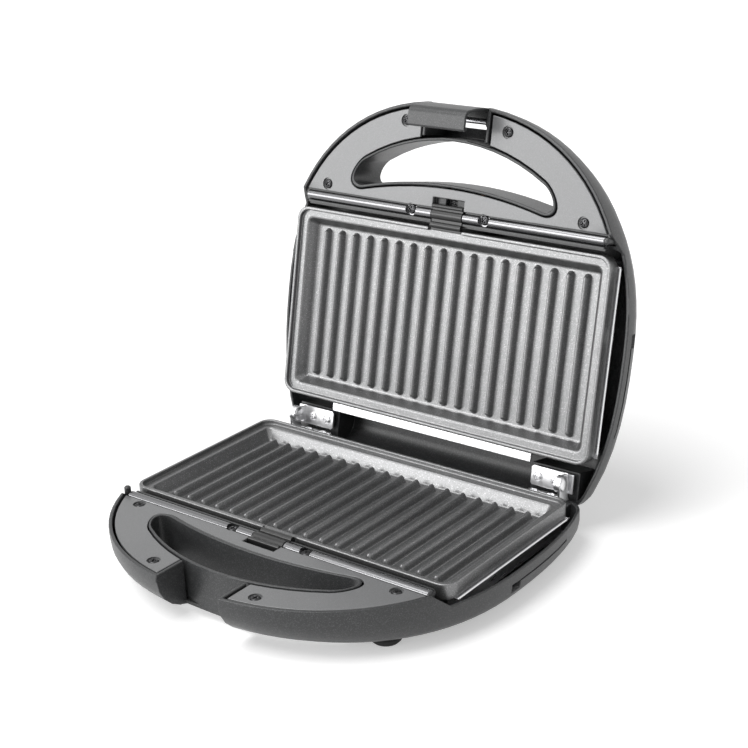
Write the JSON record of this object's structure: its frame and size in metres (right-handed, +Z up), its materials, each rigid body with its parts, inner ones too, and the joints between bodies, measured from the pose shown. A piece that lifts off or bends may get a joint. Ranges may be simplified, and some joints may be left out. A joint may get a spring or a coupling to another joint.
{
  "type": "sandwich toaster",
  "caption": "Open clamshell sandwich toaster with two ribbed non-stick plates, arched handles with finger openings and a latch flap.",
  "frame": {"origin": "on the table, under the middle of the open toaster's bounding box", "axes": "+Z up, -Y towards the handle and the user, +X to the right of someone who faces the handle from behind the base"},
  "size_m": [0.254, 0.2812, 0.2435],
  "materials": {
    "dark_plastic": "fine matt",
    "panel_plastic": "satin, painted grey",
    "rubber": "matt",
    "coated_plate": "non-stick coating with a fine sparkle",
    "bright_steel": "polished",
    "sheet_steel": "bright sheet",
    "dark_screw": "blackened",
    "element_steel": "heat-dulled",
    "spring_steel": "plain wire",
    "ceramic": "glazed",
    "terminal_plastic": "natural",
    "black_plastic": "satin",
    "red_lens": "clear tinted",
    "green_lens": "clear tinted",
    "lamp_glass": "clear"
  },
  "bodies": {
    "base": {"base_housing": "dark_plastic", "base_feet": "rubber", "base_panel": "panel_plastic", "base_panel_screws": "dark_screw", "base_rail": "bright_steel", "base_plate": "coated_plate", "base_reflector": "sheet_steel", "base_element": "element_steel", "base_catch_spring": "spring_steel", "base_bracket_left": "bright_steel", "base_bracket_right": "bright_steel", "base_bracket_screws": "bright_steel", "hinge_rivets": "bright_steel", "hinge_washers": "bright_steel", "thermostat": "ceramic", "thermal_fuse": "ceramic", "terminal_block": "terminal_plastic", "cable_inlet": "black_plastic"},
    "lid": {"lid_housing": "dark_plastic", "lid_panel": "panel_plastic", "lid_panel_screws": "dark_screw", "lid_rail": "bright_steel", "lid_plate": "coated_plate", "lid_reflector": "sheet_steel", "lid_element": "element_steel", "lid_catch_spring": "spring_steel", "lid_bracket_left": "bright_steel", "lid_bracket_right": "bright_steel", "lid_bracket_screws": "bright_steel", "latch_pin": "spring_steel", "power_lens": "red_lens", "ready_lens": "green_lens", "indicator_lamps": "lamp_glass"},
    "latch": {"latch": "dark_plastic"},
    "base_catch": {"base_catch": "black_plastic"},
    "lid_catch": {"lid_catch": "black_plastic"}
  },
  "joints": [
    {"name": "lid_hinge", "type": "hinge", "parent": "base", "child": "lid", "pos_m": [0, 0.07178, 0.0345], "axis": [1, 0, 0], "range_deg": [0, 102.2]},
    {"name": "latch_pivot", "type": "hinge", "parent": "lid", "child": "latch", "pos_m": [0, 0.12989, 0.22993], "axis": [-1, 0, 0], "range_deg": [0, 28]},
    {"name": "base_catch_slide", "type": "slide", "parent": "base", "child": "base_catch", "axis": [0, -1, 0], "range_m": [0, 0.0035], "stiffness_N_per_m": 400, "springref_m": -0.003, "deforming": ["base_catch_spring"]},
    {"name": "lid_catch_slide", "type": "slide", "parent": "lid", "child": "lid_catch", "axis": [0, 0.2113, 0.9774], "range_m": [0, 0.0035], "stiffness_N_per_m": 400, "springref_m": -0.003, "deforming": ["lid_catch_spring"]}
  ]
}
